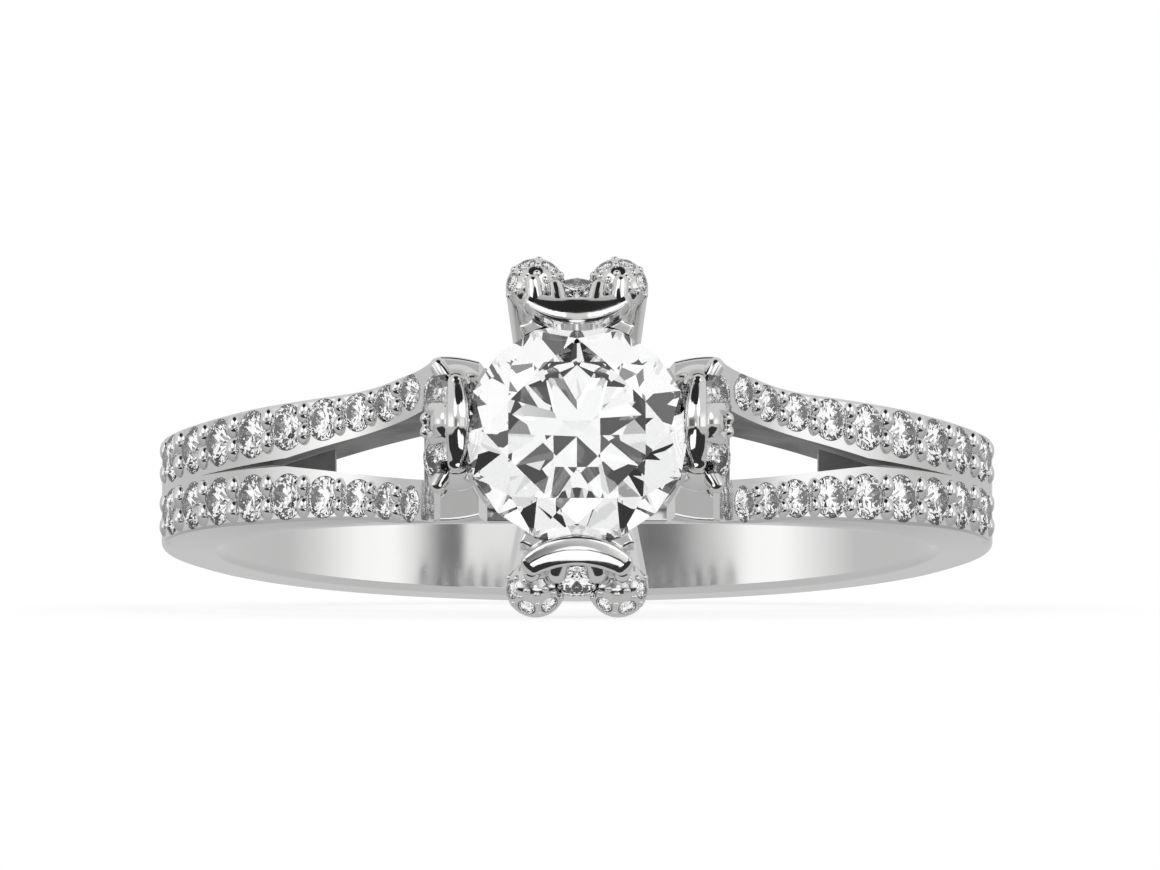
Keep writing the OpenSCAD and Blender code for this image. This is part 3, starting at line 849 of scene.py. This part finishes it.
def wear_group():
    """Fine rubbing marks and slight unevenness of a polished surface."""
    group = bpy.data.node_groups.new("polish_wear", "ShaderNodeTree")
    for name, default in (("Scale", 900.0), ("Low", 0.04), ("High", 0.1)):
        socket = group.interface.new_socket(name, in_out="INPUT", socket_type="NodeSocketFloat")
        socket.default_value = default
    group.interface.new_socket("Roughness", in_out="OUTPUT", socket_type="NodeSocketFloat")
    group.interface.new_socket("Height", in_out="OUTPUT", socket_type="NodeSocketFloat")
    nodes, links = group.nodes, group.links
    given = nodes.new("NodeGroupInput")
    out = nodes.new("NodeGroupOutput")
    place = nodes.new("ShaderNodeTexCoord")
    rub = nodes.new("ShaderNodeTexNoise")
    rub.inputs["Detail"].default_value = 4
    spread = nodes.new("ShaderNodeMapRange")
    spread.inputs["From Min"].default_value = 0.35
    spread.inputs["From Max"].default_value = 0.7
    links.new(place.outputs["Object"], rub.inputs["Vector"])
    links.new(given.outputs["Scale"], rub.inputs["Scale"])
    links.new(rub.outputs["Fac"], spread.inputs["Value"])
    links.new(given.outputs["Low"], spread.inputs["To Min"])
    links.new(given.outputs["High"], spread.inputs["To Max"])
    links.new(spread.outputs["Result"], out.inputs["Roughness"])
    links.new(rub.outputs["Fac"], out.inputs["Height"])
    return group


def place_wear(tree, wear, scale, low, high):
    """Puts the wear group in a material, with its own fineness and roughness range."""
    use = tree.nodes.new("ShaderNodeGroup")
    use.node_tree = wear
    use.inputs["Scale"].default_value = scale
    use.inputs["Low"].default_value = low
    use.inputs["High"].default_value = high
    return use


def polished_metal(wear, name, tone, low, high):
    """White gold of a given tone with rubbing marks, between two roughnesses; a darker tone makes a copy for
    painted shade.
    """
    material, tree, shader = new_material(name)
    shader.inputs["Metallic"].default_value = 1
    shader.inputs["Base Color"].default_value = (*tone, 1)
    use = place_wear(tree, wear, scale=900, low=low, high=high)
    bump = tree.nodes.new("ShaderNodeBump")
    bump.inputs["Strength"].default_value = 0.02
    bump.inputs["Distance"].default_value = 0.02 * MM
    tree.links.new(use.outputs["Roughness"], shader.inputs["Roughness"])
    tree.links.new(use.outputs["Height"], bump.inputs["Height"])
    tree.links.new(bump.outputs["Normal"], shader.inputs["Normal"])
    return material


def diamond(wear):
    """Clear stone, with the faintest cloud in its body and a trace of wear on its facets."""
    material, tree, shader = new_material("diamond")
    shader.inputs["IOR"].default_value = 2.42
    shader.inputs["Transmission Weight"].default_value = 1
    use = place_wear(tree, wear, scale=1400, low=0, high=0.006)
    cloud = mixed(tree, use.outputs["Height"], (0.985, 0.99, 1, 1), (1, 1, 1, 1))
    tree.links.new(cloud, shader.inputs["Base Color"])
    tree.links.new(use.outputs["Roughness"], shader.inputs["Roughness"])
    return material


def pale_floor():
    """Pale floor, which the polished metal and the stones see with their own light and dark parts."""
    material, tree, shader = new_material("floor")
    shader.inputs["Base Color"].default_value = grey(FLOOR_TONE)
    shader.inputs["Roughness"].default_value = 1
    shader.inputs["Specular IOR Level"].default_value = 0
    shader.inputs["Emission Color"].default_value = (1, 1, 1, 1)
    shader.inputs["Emission Strength"].default_value = FLOOR_GLOW
    nodes, links = tree.nodes, tree.links
    here = nodes.new("ShaderNodeTexCoord").outputs["Object"]
    for_metal = nodes.new("ShaderNodeEmission")
    links.new(floor_for_metal(tree, here), for_metal.inputs["Color"])
    in_stone = nodes.new("ShaderNodeEmission")
    in_stone.inputs["Strength"].default_value = GEM_LIGHT
    links.new(broken_light(tree, here, FLOOR_SCALE), in_stone.inputs["Color"])
    path = nodes.new("ShaderNodeLightPath")
    seen = by_ray(tree, path, "Is Glossy Ray", for_metal.outputs["Emission"], shader.outputs["BSDF"])
    seen = by_ray(tree, path, "Is Transmission Ray", in_stone.outputs["Emission"], seen)
    links.new(seen, nodes["Material Output"].inputs["Surface"])
    bm = bmesh.new()
    bmesh.ops.create_grid(bm, x_segments=1, y_segments=1, size=FLOOR_HALF)
    floor = as_object(bm, "floor")
    floor.data.materials.append(material)


def floor_for_metal(tree, here):
    """Light of the floor for the metal: darker in front of the ring, with a white sheet on the dark part."""
    split = tree.nodes.new("ShaderNodeSeparateXYZ")
    tree.links.new(here, split.inputs["Vector"])
    behind = split.outputs["Y"]
    plain = add_ramp(tree, behind, FLOOR_LIGHT[0][0], FLOOR_LIGHT[-1][0], FLOOR_LIGHT)
    aside = worked_out(tree, "ABSOLUTE", split.outputs["X"])["Value"]
    strips = add_ramp(tree, aside, 0, STRIP_LIGHT[-1][0], STRIP_LIGHT)
    in_front = worked_out(tree, "LESS_THAN", behind, STRIP_START)["Value"]
    striped = mixed(tree, in_front, plain, strips, blend="MULTIPLY")
    shrink = (1 / SHEET_HALF_X, 1 / SHEET_HALF_Y, 0)
    centring = (-SHEET_X / SHEET_HALF_X, -SHEET_Y / SHEET_HALF_Y, 0)
    offset = worked_out(tree, "MULTIPLY_ADD", here, shrink, centring, node_type=VECTOR_MATH)["Vector"]
    away = worked_out(tree, "LENGTH", offset, node_type=VECTOR_MATH)["Value"]
    on_sheet = worked_out(tree, "LESS_THAN", away, 1)["Value"]
    return mixed(tree, on_sheet, striped, grey(SHEET_LIGHT))


def studio_world():
    """Soft studio: panels by direction for the metal, a bright tent with dark cards for the stones."""
    world = bpy.data.worlds.new("studio")
    world.use_nodes = True
    tree = world.node_tree
    nodes, links = tree.nodes, tree.links
    towards = nodes.new("ShaderNodeTexCoord").outputs["Generated"]
    for_metal = nodes["Background"]
    panels = with_cards(tree, studio_panels(tree, towards), towards, METAL_CARDS)
    links.new(panels, for_metal.inputs["Color"])
    for_metal.inputs["Strength"].default_value = LIGHT_STRENGTH
    in_stone = nodes.new("ShaderNodeBackground")
    tent = with_cards(tree, broken_light(tree, towards, GEM_SCALE), towards, GEM_CARDS)
    links.new(tent, in_stone.inputs["Color"])
    in_stone.inputs["Strength"].default_value = GEM_LIGHT
    seen = nodes.new("ShaderNodeBackground")
    seen.inputs["Color"].default_value = (1, 1, 1, 1)
    path = nodes.new("ShaderNodeLightPath")
    shown = by_ray(tree, path, "Is Transmission Ray", in_stone.outputs["Background"],
                   for_metal.outputs["Background"])
    shown = by_ray(tree, path, "Is Camera Ray", seen.outputs["Background"], shown)
    links.new(shown, nodes["World Output"].inputs["Surface"])
    bpy.context.scene.world = world


def studio_panels(tree, towards):
    """Grey panels round the ring, which give way to an even light higher up."""
    split = tree.nodes.new("ShaderNodeSeparateXYZ")
    tree.links.new(towards, split.inputs["Vector"])
    front = worked_out(tree, "MULTIPLY", split.outputs["Y"], -1)["Value"]
    azimuth = worked_out(tree, "ARCTAN2", split.outputs["X"], front)["Value"]
    elevation = worked_out(tree, "ARCSINE", split.outputs["Z"])["Value"]
    around = add_ramp(tree, azimuth, radians(-180), radians(180), in_radians(ROUND_LIGHT))
    overhead = add_ramp(tree, elevation, radians(-90), radians(90), in_radians(HIGH_LIGHT))
    share = add_ramp(tree, elevation, radians(-90), radians(90), in_radians(HIGH_SHARE))
    return mixed(tree, share, around, overhead)


def in_radians(stops):
    return [(radians(angle), light) for angle, light in stops]


def broken_light(tree, vector, scale):
    """Light in patches of white, grey and black, so that neighbouring facets differ."""
    cells = tree.nodes.new("ShaderNodeTexVoronoi")
    cells.inputs["Scale"].default_value = scale
    cells.inputs["Randomness"].default_value = 1
    tree.links.new(vector, cells.inputs["Vector"])
    part = tree.nodes.new("ShaderNodeSeparateColor")
    tree.links.new(cells.outputs["Color"], part.inputs["Color"])
    ramp = tree.nodes.new("ShaderNodeValToRGB")
    ramp.color_ramp.interpolation = "CONSTANT"
    fill_ramp(ramp.color_ramp, GEM_PATCHES)
    tree.links.new(part.outputs["Red"], ramp.inputs["Fac"])
    return ramp.outputs["Color"]


def with_cards(tree, light, direction, cards):
    """Light with round cards held before it, soft at their edges."""
    for card in cards:
        a, e = radians(card.azimuth), radians(card.elevation)
        aim = (sin(a) * cos(e), -cos(a) * cos(e), sin(e))
        cosine = worked_out(tree, "DOT_PRODUCT", direction, aim, node_type=VECTOR_MATH)["Value"]
        mask = tree.nodes.new("ShaderNodeMapRange")
        mask.interpolation_type = "SMOOTHSTEP"
        mask.inputs["From Min"].default_value = cos(radians(card.radius + CARD_EDGE))
        mask.inputs["From Max"].default_value = cos(radians(card.radius))
        tree.links.new(cosine, mask.inputs["Value"])
        light = mixed(tree, mask.outputs["Result"], light, grey(card.grey))
    return light


def place_camera():
    """Camera level with the floor, at the height and distance that the photograph's outline gives."""
    data = bpy.data.cameras.new("camera")
    data.sensor_width = FILM_W
    data.lens = LENS
    data.clip_start = 0.01
    data.clip_end = 100
    camera = bpy.data.objects.new("camera", data)
    bpy.context.scene.collection.objects.link(camera)
    camera.location = Vector(bore["pos_m"]) + Vector((CAMERA_ASIDE, -CAMERA_AWAY, CAMERA_ABOVE))
    camera.rotation_euler = (radians(90), 0, 0)
    bpy.context.scene.camera = camera


wear = wear_group()
white_gold = polished_metal(wear, "white_gold", GOLD_TONE, low=0.05, high=0.12)
# Darker copy of the white gold, for painted shade in the split between the branches
split_shade_metal = polished_metal(wear, "split_shade_metal", SPLIT_SHADE_TONE, low=0.2, high=0.38)
# Greyer copy of the white gold, for painted shade in the row stones' seats
seat_shade_metal = polished_metal(wear, "seat_shade_metal", SEAT_SHADE_TONE, low=0.2, high=0.38)
satin = polished_metal(wear, "satin_gold", GOLD_TONE, low=0.08, high=0.14)
stone = diamond(wear)

for name, node in frame["nodes"].items():
    if name != "metal":
        node.data.materials.clear()
        node.data.materials.append(stone)

# Mirror rays pass through the shank and its beads, so that the band shows the studio's light
shank = make_shank()
shank.visible_glossy = False
# The shank's faces get white gold, painted shade in the split, satin in the bore and painted shade in the
# seats
lay_down(shank, white_gold, split_shade_metal, satin, seat_shade_metal)
beads = make_beads()
beads.visible_glossy = False
lay_down(beads, white_gold)
for level in (-1, 1):
    lay_down(make_long_petal(level), white_gold)
for side in (-1, 1):
    lay_down(make_short_petal(side), white_gold)

pale_floor()
studio_world()
place_camera()
bpy.context.scene.view_settings.view_transform = "Standard"
